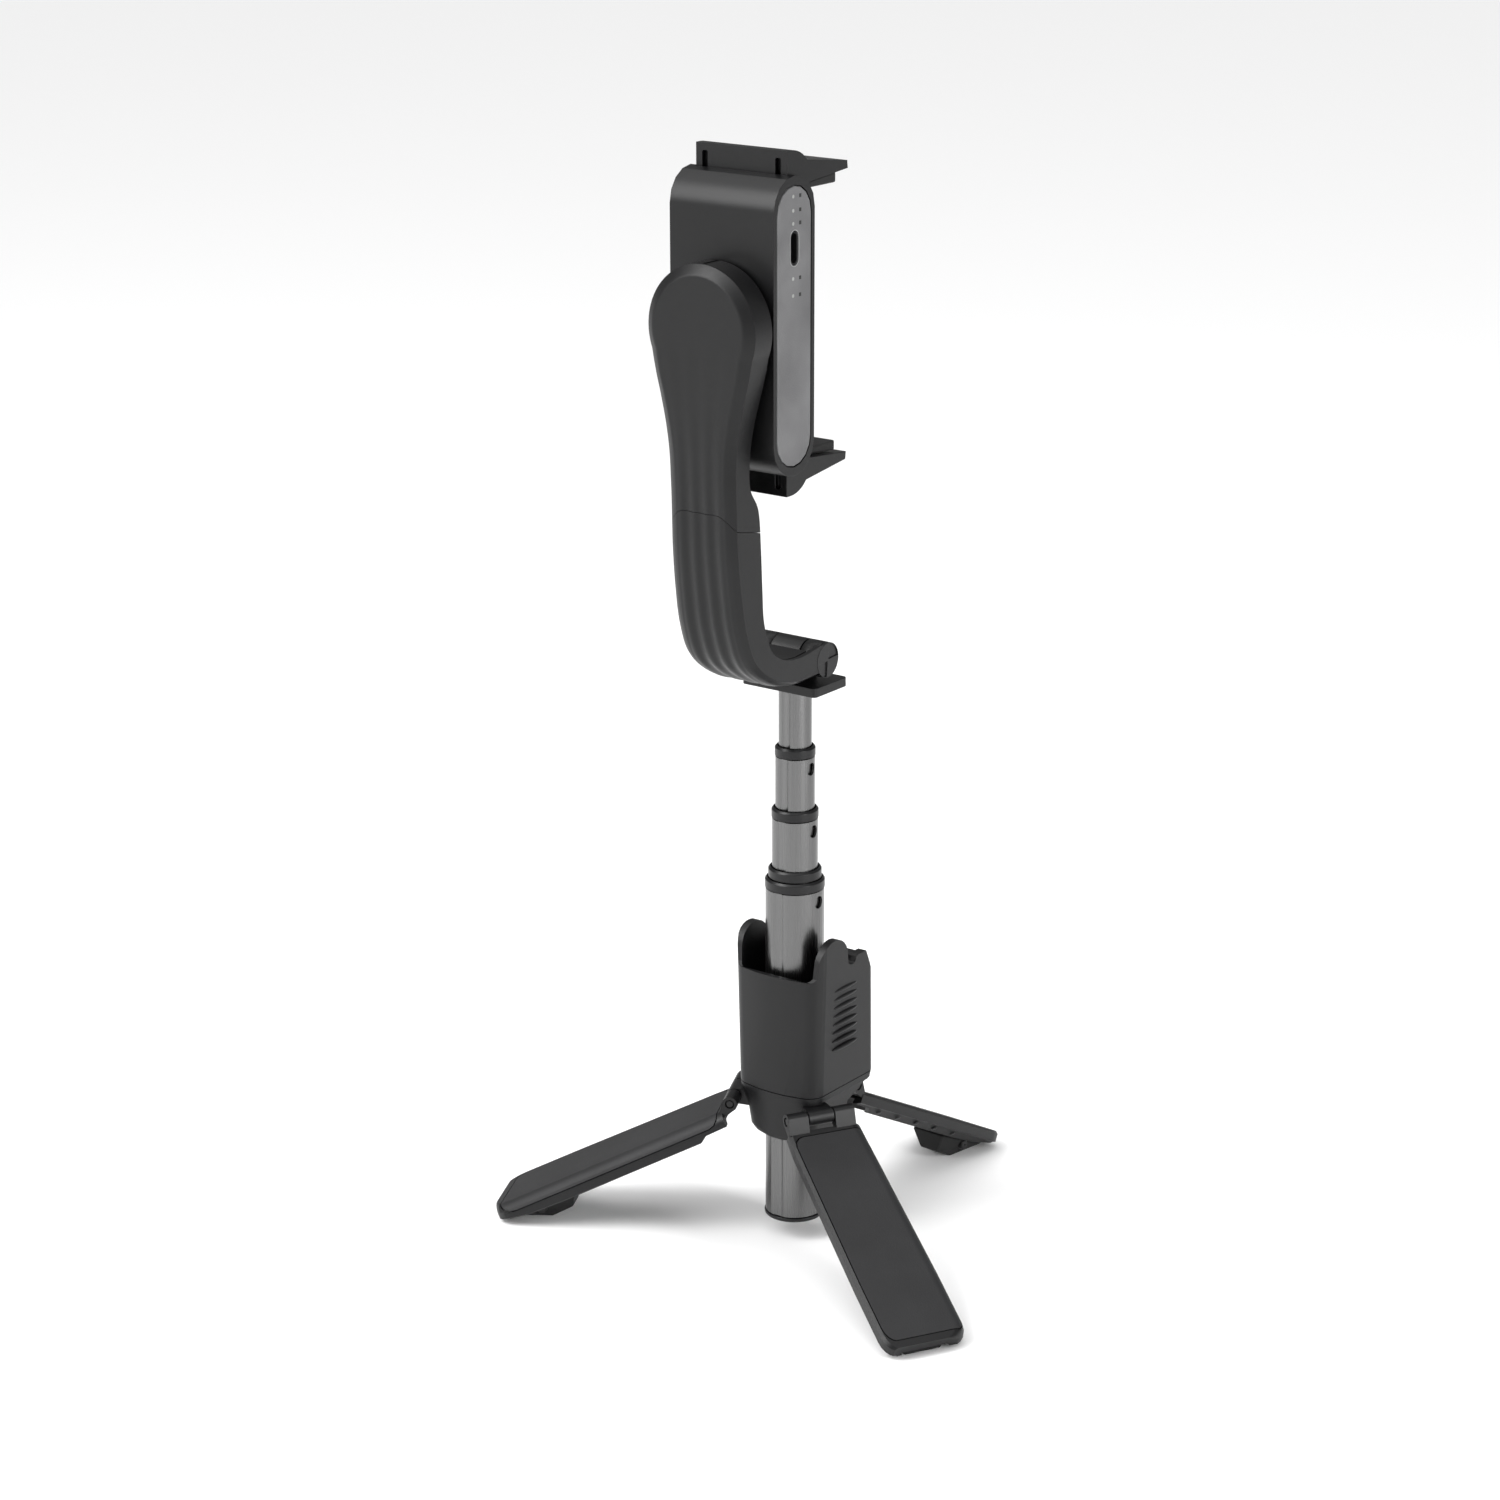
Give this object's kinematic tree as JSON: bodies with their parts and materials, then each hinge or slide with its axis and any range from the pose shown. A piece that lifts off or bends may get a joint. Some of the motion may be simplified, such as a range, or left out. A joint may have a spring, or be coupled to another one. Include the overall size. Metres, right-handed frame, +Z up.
{
  "type": "phone gimbal stand",
  "caption": "Single-axis phone gimbal: sprung phone clamp on a motor arm, hinged on a telescopic column with a fold-down tripod grip.",
  "frame": {"origin": "on the floor under the middle of the whole object", "axes": "+Z up; +Y the way a held phone's screen faces; the arm is on the -Y side and the charging port at the +X end of the clamp"},
  "size_m": [0.1682, 0.1447, 0.3272],
  "materials": {
    "black_abs": "satin black moulding",
    "black_polyamide": "plain black moulding",
    "grey_panel": "grey satin end panel",
    "textured_panel": "finely textured dark grey",
    "black_rubber": "matte black",
    "anodised_aluminium": "dark grey anodised",
    "steel": "plain steel",
    "motor_metal": "wound stator and magnet ring",
    "circuit_board": "solder mask",
    "battery_wrap": "shrink wrap"
  },
  "bodies": {
    "stand": {"sleeve_shell": "black_abs", "hub_shell": "black_abs", "sleeve_bush_upper": "black_polyamide", "sleeve_bush_lower": "steel", "remote_body": "black_abs", "leg_pin_1": "steel", "leg_pin_2": "steel", "leg_pin_3": "steel"},
    "remote_button": {"remote_button": "black_polyamide"},
    "leg_1": {"leg_frame_1": "black_abs", "leg_panel_1": "textured_panel", "leg_foot_1": "black_rubber"},
    "leg_2": {"leg_frame_2": "black_abs", "leg_panel_2": "textured_panel", "leg_foot_2": "black_rubber"},
    "leg_3": {"leg_frame_3": "black_abs", "leg_panel_3": "textured_panel", "leg_foot_3": "black_rubber"},
    "tube_5": {"tube_5": "anodised_aluminium", "tube_5_collar": "black_polyamide", "tube_5_end_cap": "black_polyamide"},
    "tube_4": {"tube_4": "anodised_aluminium", "tube_4_collar": "black_polyamide"},
    "tube_3": {"tube_3": "anodised_aluminium", "tube_3_collar": "black_polyamide"},
    "tube_2": {"tube_2": "anodised_aluminium", "tube_2_collar": "black_polyamide"},
    "tube_1": {"tube_1": "anodised_aluminium", "platform": "black_abs", "tilt_pin": "steel"},
    "arm": {"arm_upper_shell": "black_abs", "arm_lower_shell": "black_abs", "arm_cover": "black_abs", "barrel_cap_left": "black_polyamide", "barrel_cap_right": "black_polyamide", "motor_stator": "motor_metal", "motor_bearing": "steel", "motor_cover": "black_polyamide"},
    "clamp": {"motor_shaft": "steel", "motor_rotor": "motor_metal", "case_shell": "black_abs", "case_cover": "black_abs", "end_panel_left": "grey_panel", "end_panel_right": "grey_panel", "charge_port": "black_polyamide", "control_board": "circuit_board", "battery": "battery_wrap", "rack_plate": "steel"},
    "jaw_upper": {"jaw_upper": "black_abs", "jaw_pad_upper": "black_rubber"},
    "jaw_lower": {"jaw_lower": "black_abs", "jaw_pad_lower": "black_rubber"},
    "jaw_pinion": {"jaw_pinion": "steel"},
    "power_button": {"power_button": "black_polyamide"}
  },
  "joints": [
    {"name": "leg_1_fold", "type": "hinge", "parent": "stand", "child": "leg_1", "pos_m": [0.00092, -0.00112, 0.0438], "axis": [-0.9986, 0.0523, 0], "range_deg": [0, 62.5]},
    {"name": "leg_2_fold", "type": "hinge", "parent": "stand", "child": "leg_2", "pos_m": [-0.01586, -0.026, 0.0438], "axis": [0.4226, -0.9063, 0], "range_deg": [0, 62.5]},
    {"name": "leg_3_fold", "type": "hinge", "parent": "stand", "child": "leg_3", "pos_m": [0.01516, -0.02735, 0.0438], "axis": [0.5, 0.866, 0], "range_deg": [0, 62.5]},
    {"name": "tube_5_slide", "type": "slide", "parent": "stand", "child": "tube_5", "axis": [0, 0, 1], "range_m": [-0.033, 0.025]},
    {"name": "tube_4_slide", "type": "slide", "parent": "tube_5", "child": "tube_4", "axis": [0, 0, 1], "range_m": [0, 0.078]},
    {"name": "tube_3_slide", "type": "slide", "parent": "tube_4", "child": "tube_3", "axis": [0, 0, 1], "range_m": [-0.0147, 0.06]},
    {"name": "tube_2_slide", "type": "slide", "parent": "tube_3", "child": "tube_2", "axis": [0, 0, 1], "range_m": [-0.0154, 0.06]},
    {"name": "tube_1_slide", "type": "slide", "parent": "tube_2", "child": "tube_1", "axis": [0, 0, 1], "range_m": [-0.0174, 0.062]},
    {"name": "arm_tilt", "type": "hinge", "parent": "tube_1", "child": "arm", "pos_m": [0, -0.0194, 0.1803], "axis": [-1, 0, 0], "range_deg": [0, 150]},
    {"name": "clamp_roll", "type": "hinge", "parent": "arm", "child": "clamp", "pos_m": [0, -0.0436, 0.28], "axis": [0, 1, 0], "range_deg": [-160, 160]},
    {"name": "jaw_upper_slide", "type": "slide", "parent": "clamp", "child": "jaw_upper", "axis": [0, 0, 1], "range_m": [-0.0062, 0.009]},
    {"name": "jaw_lower_slide", "type": "slide", "parent": "clamp", "child": "jaw_lower", "axis": [0, 0, 1], "range_m": [-0.009, 0.0062]},
    {"name": "jaw_pinion_spin", "type": "hinge", "parent": "clamp", "child": "jaw_pinion", "pos_m": [0, -0.0436, 0.28], "axis": [0, 1, 0], "range_deg": [-104, 72]},
    {"name": "power_button_press", "type": "slide", "parent": "clamp", "child": "power_button", "axis": [1, 0, 0], "range_m": [0, 0.0005], "stiffness_N_per_m": 400, "springref_m": -0.0008},
    {"name": "remote_button_press", "type": "slide", "parent": "stand", "child": "remote_button", "axis": [0, -1, 0], "range_m": [0, 0.0008], "stiffness_N_per_m": 400, "springref_m": -0.0008}
  ],
  "couplings": [
    {"joint": "jaw_lower_slide", "follows": "jaw_upper_slide", "ratio": -1},
    {"joint": "jaw_pinion_spin", "follows": "jaw_upper_slide", "rad_per_m": -200}
  ]
}
